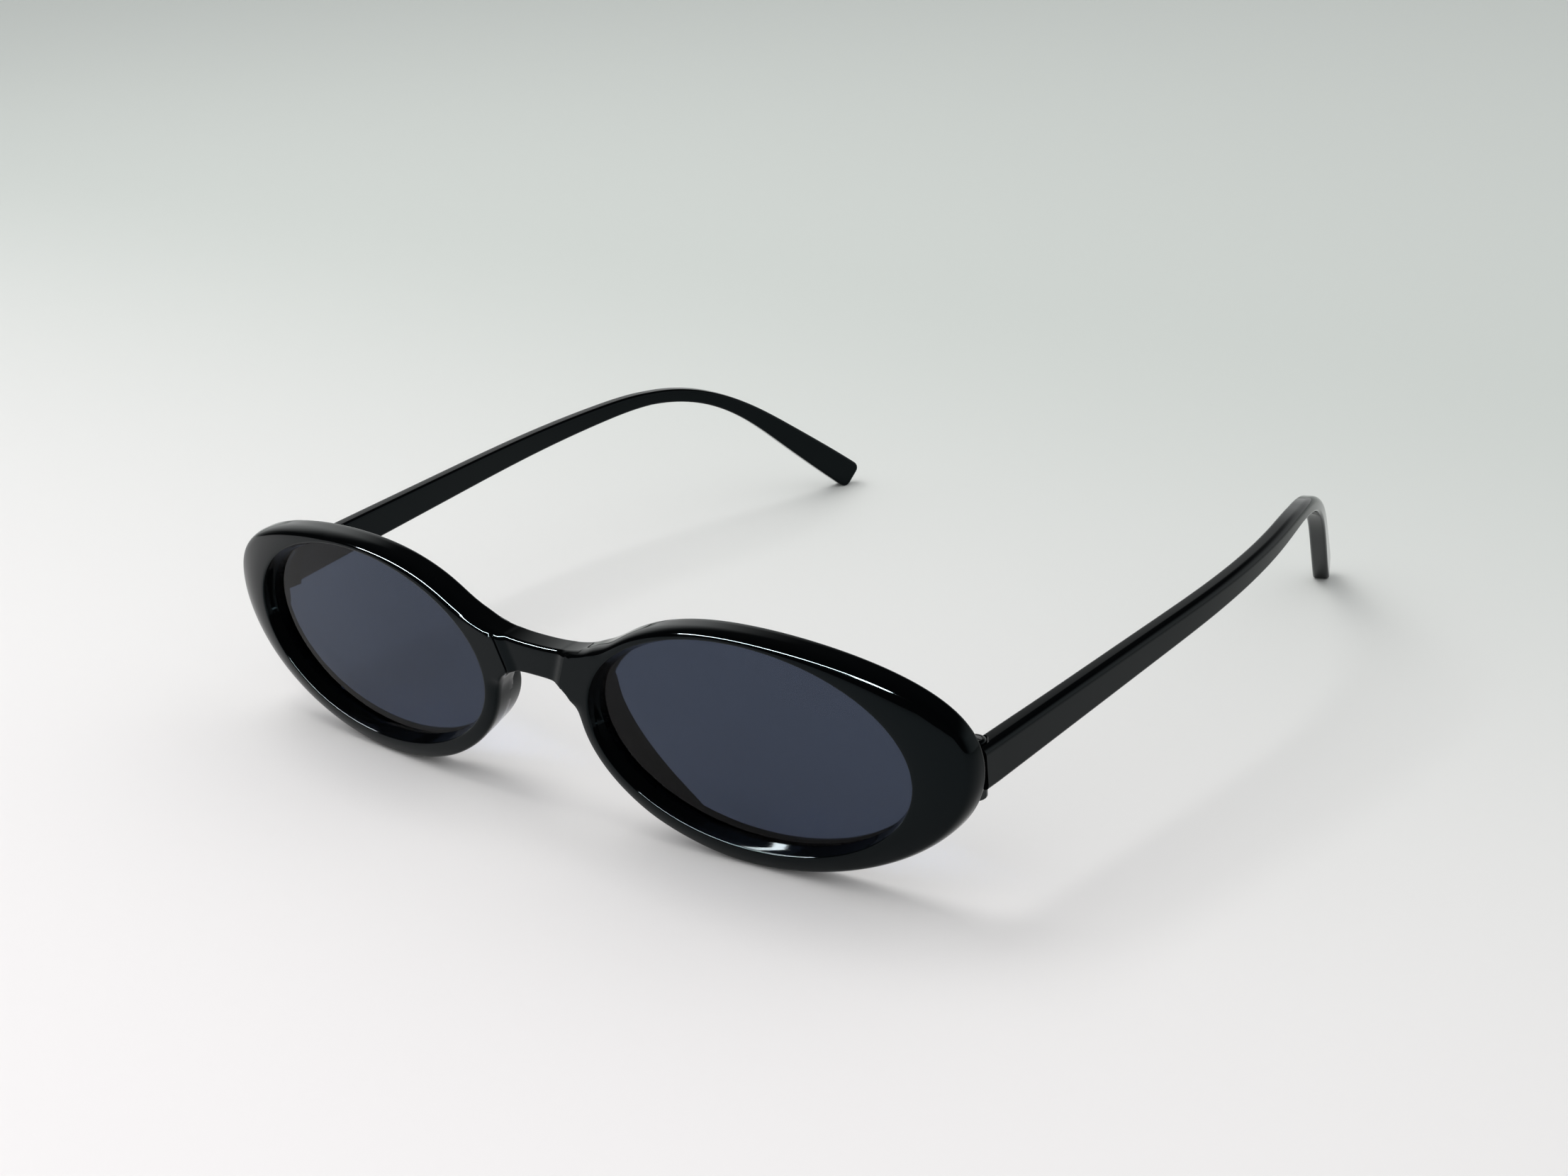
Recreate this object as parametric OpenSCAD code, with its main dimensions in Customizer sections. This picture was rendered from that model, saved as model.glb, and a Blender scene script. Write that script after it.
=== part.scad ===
// Oval sunglasses with a moulded front, standing open on a flat surface.
// The lenses face -Y and +Z is up. Right is +X. Sizes are in millimetres.

/* [Front] */
// Width of each lens opening at the rim's face
lens_w = 51; // [46:0.5:56]
// Height of each lens opening at the rim's face
lens_h = 30.2; // [27:0.2:34]
// Gap between the two lens openings at the nose
bridge_gap = 20; // [18:0.2:24]
// Width of the rim beside the nose
rim_nose = 2.3; // [1.9:0.1:3.5]
// Width of the rim at the hinge side
rim_end = 7.9; // [7.4:0.1:10]
// Width of the rim above the middle of the lens opening
rim_top = 1.2; // [1.1:0.1:3]
// Width of the rim below the middle of the lens opening
rim_bottom = 2.9; // [1.8:0.1:4]
// Upward tilt of each rim's outline towards the hinge, in degrees
rim_tilt = 3.8; // [0:0.1:5]
// How much taller the upper half of the rim's outline is at the nose than at its middle, as a share
rim_fullness = 0.16; // [0:0.01:0.2]
// How much taller the lower half of the rim's outline is at the nose than at its middle, as a share
rim_fullness_low = 0.06; // [0:0.01:0.15]
// Upward bow of the rim's outline at its two ends
rim_bow = 1.6; // [0:0.1:2.5]
// Squareness of the rim's outline at the nose, where 2 is an ellipse
rim_square_nose = 1.9; // [1.85:0.01:2.2]
// Squareness of the rim's outline at the hinge side, where 2 is an ellipse
rim_square_end = 2.2; // [2:0.01:2.3]
// Thickness of the front
front_t = 4.6; // [4.4:0.1:6]
// Height of the rounding between the face and the rim's outside
face_round = 0.8; // [0.4:0.1:1.4]
// Depth of the rounding between the face and the rim's outside
face_round_depth = 2.2; // [0.6:0.1:3]
// Fall of the rim's face from the lens opening to its outer edge, as a share of the face's width
face_fall = 0.2; // [0.02:0.01:0.25]
// Rounding along the outer edge of the rim's back
back_edge = 0.5; // [0.2:0.1:0.8]
// Radius of the curve that the front follows round the face
wrap_r = 460; // [300:10:900]
// Forward lean of the front's top, in degrees
lean = 4.1; // [0:0.1:8]

/* [Lenses] */
// Thickness of a lens
lens_t = 1.8; // [1.4:0.1:2]
// Depth of a lens's front behind the edge of the rim's face
lens_setback = 2; // [1.6:0.1:2.2]
// How much narrower the opening is at the lens than at the face, on each side
opening_draft = 0.6; // [0.3:0.1:0.8]
// Depth of the groove that holds the lens's edge
groove_depth = 0.7; // [0.5:0.1:0.8]
// Free space round the lens in its groove
lens_clear = 0.06; // [0.04:0.01:0.1]
// Softening of the opening's edges
opening_edge = 0.25; // [0.15:0.05:0.4]

/* [Bridge] */
// Height of the bridge's top at the middle, above the centre of the lens openings
bridge_top = 7.7; // [7:0.1:9]
// Height of the bridge's arch at the middle, above the centre of the lens openings
bridge_arch = 3; // [1:0.1:3.5]
// Rise of the brow line from the middle of the bridge to the rims
brow_rise = 4.7; // [3:0.1:5]
// Half length of the brow line between the rims
brow_half = 17.2; // [16.5:0.1:20]
// Half width of the arch where it has dropped by 1 mm
arch_half = 5.4; // [4:0.1:6]
// Half width of the bridge's face between the edges of the two rims' faces, at the arch
crease_half = 5; // [4:0.1:6]
// Sideways lean of those edges towards the top, as a slope
crease_slant = 0.38; // [0:0.01:0.5]
// Depth of the bridge's face behind the rims' faces
bridge_setback = 0.7; // [0.4:0.1:1.2]
// Depth of the rounding between the bridge's face and its top
bridge_round_depth = 1.4; // [0.6:0.1:2.2]
// Step down from the rims' faces to the bridge's face at its edges
crease_step = 0.2; // [0.1:0.05:0.4]
// Width of the hollow that leads from that step into the bridge's face
crease_fillet = 1.8; // [0.8:0.1:2.5]
// Rounding along the arch
arch_round = 0.4; // [0.3:0.1:1]

/* [Nose pads] */
// Reach of each nose pad behind the back of the front
pad_reach = 3; // [2:0.1:5]
// Thickness of a nose pad
pad_t = 1.6; // [1.4:0.1:1.9]
// Flare of the nose side of the rims and pads towards the back, in degrees
nose_flare = 12; // [0:1:15]
// Rounding between the face and the nose side
nose_edge = 0.4; // [0.3:0.1:1]
// Turn round the rim over which the nose side runs out beyond a pad's ends, in degrees
nose_blend = 12; // [8:1:16]
// Angle round the rim where a nose pad begins
pad_from = 160; // [155:1:168]
// Angle round the rim where a nose pad ends
pad_to = 240; // [220:1:245]

/* [Hinge] */
// Radius of the hinge's knuckles
knuckle_r = 1.6; // [1.5:0.05:1.8]
// Height of the temple's knuckle
knuckle_h = 2.8; // [2.2:0.1:3.4]
// Height of each of the front's two knuckles
lug_h = 2.6; // [2.2:0.1:3]
// Rounding of the front's knuckles at their outer ends
lug_round = 0.45; // [0.2:0.05:0.5]
// Free height between the temple's knuckle and the front's
knuckle_gap = 0.12; // [0.08:0.01:0.2]
// Free space round the knuckles
knuckle_clear = 0.3; // [0.25:0.05:0.5]
// Thickness of the temple's wall beside the knuckles
temple_wall = 0.85; // [0.7:0.05:1.1]
// Height of the middle of the hinge below the middle of the temple
hinge_drop = 0.85; // [0:0.05:1]
// Radius of the hinge screw's shank
screw_r = 0.6; // [0.5:0.05:0.7]
// Running clearance round the screw's shank
screw_clear = 0.05; // [0.02:0.01:0.08]
// Radius of the screw's head
head_r = 1; // [0.9:0.05:1]
// Height of the screw's head
head_h = 0.6; // [0.4:0.05:0.8]
// Width of the slot in the screw's head
slot_w = 0.3; // [0.2:0.05:0.4]
// Depth of the slot in the screw's head
slot_d = 0.3; // [0.15:0.05:0.35]

/* [Temples] */
// Length of each temple from the hinge to the tip, along its outer face
temple_len = 141.5; // [132:0.5:150]
// Thickness of a temple
temple_t = 2.75; // [2.4:0.05:3]
// Thickness of a temple at the hinge
temple_end_t = 2.9; // [2.8:0.1:3.4]
// Height of a temple at the hinge
temple_h = 5.9; // [5:0.1:7]
// Height of a temple where it is lowest, near the ear
neck_h = 2.45; // [2.4:0.05:4]
// Height of a temple at its tip
tip_h = 5.2; // [4:0.1:7]
// Length along a temple where it has become lowest
neck_from = 90; // [80:1:98]
// Length along a temple where it starts to widen again
neck_to = 101; // [99:1:110]
// Height of a temple's middle above the centre of the lens openings, at the hinge
temple_up = 2; // [0:0.1:3]
// Inset of a temple's outer face from the end of the front
temple_inset = 0.3; // [0.2:0.1:1.5]
// Gap between the end of a temple and the back of the front
end_gap = 0.35; // [0.3:0.05:0.8]
// Slope of the ear piece below level, in degrees
ear_slope = 38.5; // [32:0.5:42]
// Length along a temple where the ear bend begins
ear_from = 79; // [72:1:86]
// Length along a temple where the ear bend ends
ear_to = 123; // [114:1:130]
// Outward splay of a temple at the hinge, in degrees
splay = 1.8; // [0:0.1:2.5]
// Inward turn of a temple at its tip, in degrees
curl = 22.5; // [10:0.5:24]
// Length along a temple where the inward turn begins
curl_from = 42; // [36:1:60]
// Length along a temple where the inward turn ends
curl_to = 125; // [108:1:130]
// Rounding of the upper edge of a temple's outer face
edge_round = 1.1; // [0.4:0.1:1.1]
// Rounding of a temple's other long edges
soft_round = 0.5; // [0.2:0.1:0.8]
// Rounding of the corners at a temple's tip
tip_round = 1.4; // [0.6:0.1:2]

/* [Hidden] */
black = [0.06, 0.065, 0.07];
smoke = [0.2, 0.24, 0.3, 0.5];
steel = [0.2, 0.2, 0.21];
eps = 0.02;
$fn = 48;

// Outline of a rim: centre and half sizes, seen from the front
rim_from = bridge_gap / 2 - rim_nose;
rim_to = bridge_gap / 2 + lens_w + rim_end;
rim_c = [(rim_from + rim_to) / 2, (rim_top - rim_bottom) / 2];
rim_s = [(rim_to - rim_from) / 2, (lens_h + rim_top + rim_bottom) / 2];
lens_c = [(bridge_gap + lens_w) / 2, 0];
rim_step = 5;
lens_front = lens_setback;
lens_back = lens_setback + lens_t;
groove = groove_depth - opening_draft;
round_share = 0.55;
edge_share = 0.12;

// A point at the distance u from the middle, the depth d and the height v, on the wrapped front
function sag(u) = wrap_r - sqrt(wrap_r * wrap_r - u * u);
function wrapped(u, d, v) = [u, sag(u) + d, v];
function power(c, square) = sign(c) * pow(abs(c), 2 / square);
function outline(t, inset) = let (
    square = rim_square_nose + (rim_square_end - rim_square_nose) * (1 + cos(t)) / 2,
    full = t < 180 ? rim_fullness : rim_fullness_low,
    x = (rim_s[0] - inset) * power(cos(t), square),
    y = (rim_s[1] - inset) * power(sin(t), square) * (1 - full * cos(t)) + rim_bow * pow(cos(t), 2)
  ) [rim_c[0] + x * cos(rim_tilt) - y * sin(rim_tilt), rim_c[1] + x * sin(rim_tilt) + y * cos(rim_tilt)];
function opening(t, grow) = [lens_c[0] + (lens_w / 2 + grow) * cos(t), (lens_h / 2 + grow) * sin(t)];

// Faces of a body given by rows of m points; a ring closes on itself, a loft has two end faces
function ring_faces(n, m) = [for (i = [0 : n - 1]) for (j = [0 : m - 1]) let (
    a = i * m + j,
    b = i * m + (j + 1) % m,
    c = ((i + 1) % n) * m + (j + 1) % m,
    d = ((i + 1) % n) * m + j
  ) each [[a, c, b], [a, d, c]]];
function loft_faces(n, m) = concat(
    [for (i = [0 : n - 2]) for (j = [0 : m - 1]) let (
      a = i * m + j,
      b = i * m + (j + 1) % m,
      c = (i + 1) * m + (j + 1) % m,
      d = (i + 1) * m + j
    ) each [[a, c, b], [a, d, c]]],
    [[for (j = [0 : m - 1]) j]],
    [[for (j = [m - 1 : -1 : 0]) (n - 1) * m + j]]
  );

// How far the place at the angle t belongs to the rim's nose side, from 0 to 1
function nose(t) = smooth(pad_from - nose_blend, pad_from + nose_blend / 2, t)
  * (1 - smooth(pad_to - nose_blend / 2, pad_to + nose_blend, t));
function flare(t, d) = tan(nose_flare) * nose(t) * d;

// The rim's section at the angle t: outside rounding, back, groove, opening and face
function rim_section(t) = let (
    w = norm(outline(t, 0) - opening(t, 0)),
    full_round = face_round + (nose_edge - face_round) * nose(t),
    r = min(full_round, w * round_share),
    e = min(opening_edge, w * edge_share),
    face_out = outline(t, r),
    face_in = opening(t, e),
    fall = face_fall * norm(face_out - face_in),
    depth = min(face_round_depth * full_round / face_round, front_t - back_edge - fall - back_edge / 2),
    draft = -opening_draft,
    rows = concat(
      [for (q = [0 : 30 : 90]) let (d = fall + depth * (1 - cos(q)))
        [outline(t, r * (1 - sin(q)) + flare(t, d)), d]],
      [for (q = [0 : 22.5 : 90]) let (d = front_t - back_edge * (1 - sin(q)))
        [outline(t, back_edge * (1 - cos(q)) + flare(t, d)), d]],
      [[opening(t, draft + opening_edge), front_t], [opening(t, draft), front_t - opening_edge]],
      [[opening(t, draft), lens_back + lens_clear], [opening(t, groove), lens_back + lens_clear]],
      [[opening(t, groove), lens_front - lens_clear], [opening(t, draft), lens_front - lens_clear]],
      [[opening(t, 0), e], [face_in, 0]],
      [for (f = [0.25 : 0.25 : 0.75]) [face_in * (1 - f) + face_out * f, fall * f * f]]
    )
  ) [for (p = rows) wrapped(p[0][0], p[1], p[0][1])];
rim_rows = [for (t = [0 : rim_step : 360 - rim_step]) rim_section(t)];
rim_points = [for (row = rim_rows) each row];

// The front leans about the X axis; its lowest point stands on the floor
function leaned(p) = [p[0], p[1] * cos(lean) - p[2] * sin(lean), p[1] * sin(lean) + p[2] * cos(lean)];
rim_low = min([for (p = rim_points) leaned(p)[2]]);
rim_near = min([for (p = rim_points) leaned(p)[1]]);
lens_z = -rim_low;
function back_y(x, z) = (sag(x) + front_t) / cos(lean) - (z - lens_z) * tan(lean);

// Hinge and temple positions behind the front
temple_x = rim_to - temple_inset;
axis_x = temple_x - temple_wall - knuckle_clear - knuckle_r;
temple_z = lens_z + temple_up;
hinge_z = temple_z - hinge_drop;
axis_y = back_y(axis_x, hinge_z) + knuckle_r + knuckle_clear;
lug_gap = knuckle_h / 2 + knuckle_gap;
hinge_half = lug_gap + lug_h;
bore_r = screw_r + screw_clear;
counterbore_r = head_r + screw_clear;
counterbore_h = head_h + screw_clear;
screw_len = 2 * hinge_half - counterbore_h - screw_clear;
web_root = 0.9;
web_tail = 1.3;

// Course of a temple: heading, pitch, height and thickness at the length s along it
path_step = 2.5;
taper = 0.85;
function smooth(a, b, s) = let (k = min(1, max(0, (s - a) / (b - a)))) k * k * (3 - 2 * k);
function heading(s) = -splay + (splay + curl) * smooth(curl_from, curl_to, s);
function pitch(s, rise) = -rise + (rise + ear_slope) * smooth(ear_from, ear_to, s);
function height(s) = s < neck_to
  ? neck_h + (temple_h - neck_h) * pow(1 - min(1, s / neck_from), taper)
  : neck_h + (tip_h - neck_h) * smooth(neck_to, temple_len, s);
function thickness(s) = temple_end_t + (temple_t - temple_end_t) * smooth(0, path_step * 8, s);
function along(s, rise) = [-sin(heading(s)) * cos(pitch(s, rise)), cos(heading(s)) * cos(pitch(s, rise)),
    -sin(pitch(s, rise))];
function inward(s) = [-cos(heading(s)), -sin(heading(s)), 0];
function path(rise) = let (n = floor((temple_len - tip_round) / path_step)) [
    for (i = 0, p = [temple_x, axis_y, temple_z]; i <= n;
      p = p + path_step * along((i + 0.5) * path_step, rise), i = i + 1) p];

// How far the tip's corners have closed in at the distance left to the end
function closing(left, r) = left >= r ? 0 : r - sqrt(max(0, r * r - (r - left) * (r - left)));

// A temple's section at the length s round the point p on its outer face
function corner(c, r, q) = [c[0] + r * cos(q), c[1] + r * sin(q)];
function section(s) = let (
    left = temple_len - s,
    h = height(s) / 2 - closing(left, tip_round),
    n0 = closing(left, soft_round),
    n1 = thickness(s) - closing(left, soft_round),
    i = soft_round,
    o = min(edge_round, n1 - n0 - i - eps, 2 * h - i - eps)
  ) concat(
    [for (q = [-180 : 45 : -90]) corner([n0 + i, i - h], i, q)],
    [for (q = [-90 : 45 : 0]) corner([n1 - i, i - h], i, q)],
    [for (q = [0 : 45 : 90]) corner([n1 - i, h - i], i, q)],
    [for (q = [90 : 30 : 180]) corner([n0 + o, h - o], o, q)]
  );
function placed(s, p, rise) = let (n = inward(s), u = cross(along(s, rise), n))
  [for (c = section(s)) p + n * c[0] + u * c[1]];
// The first row lies in a plane parallel to the back of the front
end_slope = temple_x / sqrt(wrap_r * wrap_r - temple_x * temple_x) / cos(lean);
function end_row(row) = [for (p = row)
    [p[0], back_y(temple_x, p[2]) + end_gap + end_slope * (p[0] - temple_x), p[2]]];
function temple_rows(rise) = let (
    line = path(rise),
    n = len(line),
    last = (n - 1) * path_step,
    end = line[n - 1],
    tail = [for (q = [0 : 30 : 90]) temple_len - tip_round * (1 - sin(q))]
  ) concat(
    [end_row(placed(0, line[0], rise))],
    [for (i = [1 : n - 1]) if (i * path_step < tail[0] - path_step / 2)
      placed(i * path_step, line[i], rise)],
    [for (s = tail) placed(s, end + (s - last) * along(s, rise), rise)]
  );
function lowest(rise) = min([for (row = temple_rows(rise)) for (p = row) p[2]]);
first_rise = 4;
// The temple's rise at the hinge is found so that its tip also stands on the floor
function settled(rise, turns) = turns == 0
  ? rise
  : settled(rise - lowest(rise) / temple_len * 180 / PI, turns - 1);
temple_rise = settled(first_rise, 5);
arm_rows = temple_rows(temple_rise);
arm_points = [for (row = arm_rows) each row];
arm_far = max([for (p = arm_points) p[1]]);
shift_y = -(rim_near + arm_far) / 2;

// Bridge: its section at the distance u from the middle
bridge_low = 4;
crease_w = 0.3;
hollow_from = crease_half - crease_fillet;
rise_from = crease_half + crease_w;
bridge_half = [
    hollow_from / 2,
    for (f = [0 : 0.25 : 1]) hollow_from + f * crease_fillet,
    for (f = [0 : 0.1 : 1]) rise_from + f * (brow_half - rise_from)
  ];
bridge_n = len(bridge_half);
function slant(u) = sign(u) * crease_slant * (1 - smooth(rise_from, brow_half, abs(u)))
  * min(1, abs(u) / crease_half);
function brow(u) = bridge_top + brow_rise * pow(abs(u) / brow_half, 2.5);
function arch(u) = max(-bridge_low, bridge_arch - pow(abs(u) / arch_half, 4));
function bridge_section(u) = let (
    top = brow(u),
    low = arch(u),
    hollow = (bridge_setback - crease_step) * (1 - smooth(hollow_from, crease_half, abs(u))),
    face = hollow + crease_step * (1 - smooth(crease_half, rise_from, abs(u))),
    depth = bridge_round_depth
      + (face_round_depth - bridge_round_depth) * smooth(crease_half, brow_half, abs(u)),
    rows = concat(
      [for (q = [0 : 30 : 90])
        [top - face_round * (1 - sin(q)), face * cos(q) + depth * (1 - cos(q))]],
      [for (q = [0 : 22.5 : 90]) [top - back_edge * (1 - cos(q)), front_t - back_edge * (1 - sin(q))]],
      [for (q = [90 : -22.5 : 0]) [low + back_edge * (1 - cos(q)), front_t - back_edge * (1 - sin(q))]],
      [for (q = [90 : -30 : 0])
        [low + arch_round * (1 - sin(q)), face + arch_round * (1 - cos(q))]]
    )
  ) [for (p = rows) wrapped(u + slant(u) * max(0, p[0] - bridge_arch), p[1], p[0])];

// Nose pad: its section at the angle t, from inside the rim's back to its own back edge
pad_step = 5;
pad_cover = 0.1;
pad_root = front_t - lens_back - pad_cover;
pad_edge = 0.5;
function pad_section(t) = let (
    reach = 0.3 + (pad_reach - 0.3) * pow(sin(180 * (t - pad_from) / (pad_to - pad_from)), 0.6),
    rows = [
      [eps, -pad_root], [eps, 0], [eps, reach - pad_edge / 2], [eps + pad_edge, reach],
      [pad_t - pad_edge, reach], [pad_t, reach - pad_edge / 2], [pad_t, 0], [pad_t, -pad_root]
    ]
  ) [for (p = rows) let (d = front_t + p[1], o = outline(t, p[0] + flare(t, d)))
    wrapped(o[0], d, o[1])];

module on_face() {
  translate([0, shift_y, lens_z]) rotate([lean, 0, 0]) children();
}

module at_hinge() {
  translate([axis_x, axis_y + shift_y, hinge_z]) children();
}

module both_sides() {
  children();
  mirror([1, 0, 0]) children();
}

module opening_prism(grow) {
  rotate([90, 0, 0]) linear_extrude(4 * front_t, center = true)
    polygon([for (t = [0 : rim_step : 360 - rim_step]) opening(t, grow)]);
}

module rim() {
  polyhedron(points = rim_points, faces = ring_faces(len(rim_rows), len(rim_rows[0])), convexity = 6);
}

module bridge() {
  rows = concat(
    [for (i = [bridge_n - 1 : -1 : 0]) bridge_section(bridge_half[i])],
    [bridge_section(0)],
    [for (i = [0 : bridge_n - 1]) bridge_section(-bridge_half[i])]
  );
  difference() {
    polyhedron(points = [for (row = rows) each row], faces = loft_faces(len(rows), len(rows[0])),
      convexity = 6);
    both_sides() translate([0, front_t, 0]) opening_prism(groove + 0.2);
  }
}

module nose_pad() {
  rows = [for (t = [pad_from : pad_step : pad_to]) pad_section(t)];
  polyhedron(points = [for (row = rows) each row], faces = loft_faces(len(rows), len(rows[0])),
    convexity = 4);
}

// One of the front's knuckles, its rounded end up, on a web that runs into the front
lug_facets = 24;
module lug() {
  translate([0, 0, lug_gap]) {
    cylinder(r = knuckle_r, h = lug_h - lug_round);
    cylinder(r = knuckle_r - lug_round, h = lug_h);
    translate([0, 0, lug_h - lug_round]) rotate_extrude()
      translate([knuckle_r - lug_round, 0]) circle(lug_round, $fn = lug_facets);
    translate([-knuckle_r, -knuckle_r - knuckle_clear - web_root, 0])
      cube([2 * knuckle_r, knuckle_r + knuckle_clear + web_root, lug_h - lug_round]);
  }
}

module hinge_bore() {
  cylinder(r = bore_r, h = 2 * hinge_half + 2, center = true);
}

module front_lugs() {
  at_hinge() difference() {
    union() {
      lug();
      mirror([0, 0, 1]) lug();
    }
    hinge_bore();
    translate([0, 0, hinge_half - counterbore_h]) cylinder(r = counterbore_r, h = counterbore_h + 1);
  }
}

module front_frame() {
  color(black) union() {
    on_face() {
      both_sides() rim();
      bridge();
      both_sides() nose_pad();
    }
    both_sides() front_lugs();
  }
}

module lens() {
  color(smoke) on_face() difference() {
    intersection() {
      translate([0, front_t, 0]) opening_prism(groove - lens_clear);
      translate([0, wrap_r + lens_front, 0]) cylinder(r = wrap_r, h = 2 * lens_h, center = true, $fn = 360);
    }
    translate([0, wrap_r + lens_back, 0]) cylinder(r = wrap_r, h = 3 * lens_h, center = true, $fn = 360);
  }
}

// Room in the temple for the knuckles and for the webs of the front's knuckles
module hinge_pocket() {
  cylinder(r = knuckle_r + knuckle_clear, h = 4 * hinge_half, center = true);
  translate([-2 * temple_end_t, -2 * temple_end_t, -2 * hinge_half])
    cube([2 * temple_end_t + knuckle_r + knuckle_clear, 2 * temple_end_t, 4 * hinge_half]);
}

module temple() {
  color(black) difference() {
    union() {
      difference() {
        translate([0, shift_y, 0]) polyhedron(points = arm_points,
          faces = loft_faces(len(arm_rows), len(arm_rows[0])), convexity = 6);
        at_hinge() hinge_pocket();
      }
      at_hinge() {
        cylinder(r = knuckle_r, h = knuckle_h, center = true);
        translate([-knuckle_r, 0, -knuckle_h / 2])
          cube([2 * knuckle_r, knuckle_r + knuckle_clear + web_tail, knuckle_h]);
      }
    }
    at_hinge() hinge_bore();
  }
}

module hinge_screw() {
  color(steel) at_hinge() difference() {
    translate([0, 0, hinge_half - counterbore_h]) {
      cylinder(r = head_r, h = head_h);
      translate([0, 0, -screw_len]) cylinder(r = screw_r, h = screw_len + eps);
    }
    translate([-head_r, -slot_w / 2, hinge_half - counterbore_h + head_h - slot_d])
      cube([2 * head_r, slot_w, 1]);
  }
}

module right_lens() { lens(); }
module left_lens() { mirror([1, 0, 0]) lens(); }
module right_temple() { temple(); }
module left_temple() { mirror([1, 0, 0]) temple(); }
module right_hinge_screw() { hinge_screw(); }
module left_hinge_screw() { mirror([1, 0, 0]) hinge_screw(); }

front_frame();
left_lens();
right_lens();
left_temple();
right_temple();
left_hinge_screw();
right_hinge_screw();
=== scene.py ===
"""Oval sunglasses: a glossy moulded front, tinted lenses and hinged temples on a pale floor."""
import math

import bmesh
import bpy
import numpy as np
from bpy.props import FloatProperty, FloatVectorProperty, PointerProperty
from mathutils import Matrix, Vector


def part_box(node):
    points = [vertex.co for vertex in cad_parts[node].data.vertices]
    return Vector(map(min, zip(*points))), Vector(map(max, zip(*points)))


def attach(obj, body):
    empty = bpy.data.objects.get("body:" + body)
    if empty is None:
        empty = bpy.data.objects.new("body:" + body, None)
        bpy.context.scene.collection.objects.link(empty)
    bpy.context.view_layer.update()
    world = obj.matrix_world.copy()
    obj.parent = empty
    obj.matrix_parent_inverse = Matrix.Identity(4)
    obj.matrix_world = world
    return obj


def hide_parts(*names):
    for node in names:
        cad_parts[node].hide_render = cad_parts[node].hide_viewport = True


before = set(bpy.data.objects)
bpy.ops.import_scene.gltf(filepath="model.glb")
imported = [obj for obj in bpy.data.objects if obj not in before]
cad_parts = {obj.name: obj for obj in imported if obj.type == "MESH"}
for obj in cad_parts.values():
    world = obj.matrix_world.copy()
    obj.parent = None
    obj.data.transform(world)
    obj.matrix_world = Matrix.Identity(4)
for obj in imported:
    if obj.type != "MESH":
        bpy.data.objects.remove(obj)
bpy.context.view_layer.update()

bl_info = {
    "name": "Oval sunglasses",
    "version": (1, 0, 0),
    "blender": (4, 5, 0),
    "location": "View3D > Sidebar > Sunglasses",
    "description": "Builds oval sunglasses with a moulded front and hinged temples",
    "category": "Object",
}


# Sizes and colours that a user may change

def metres(name, size, description):
    return FloatProperty(name=name, default=size, unit="LENGTH", precision=5,
        description=description)


def degrees(name, turn, description):
    return FloatProperty(name=name, default=math.radians(turn), subtype="ANGLE",
        description=description)


def position(name, point, description):
    return FloatVectorProperty(name=name, default=point, subtype="XYZ", unit="LENGTH",
        description=description)


def fraction(name, part, description):
    return FloatProperty(name=name, default=part, subtype="FACTOR", description=description)


def number(name, value, description, unit="NONE"):
    return FloatProperty(name=name, default=value, unit=unit, description=description)


def rgba(name, colour, description):
    return FloatVectorProperty(name=name, default=colour, subtype="COLOR", size=4, min=0, max=1,
        description=description)


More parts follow.
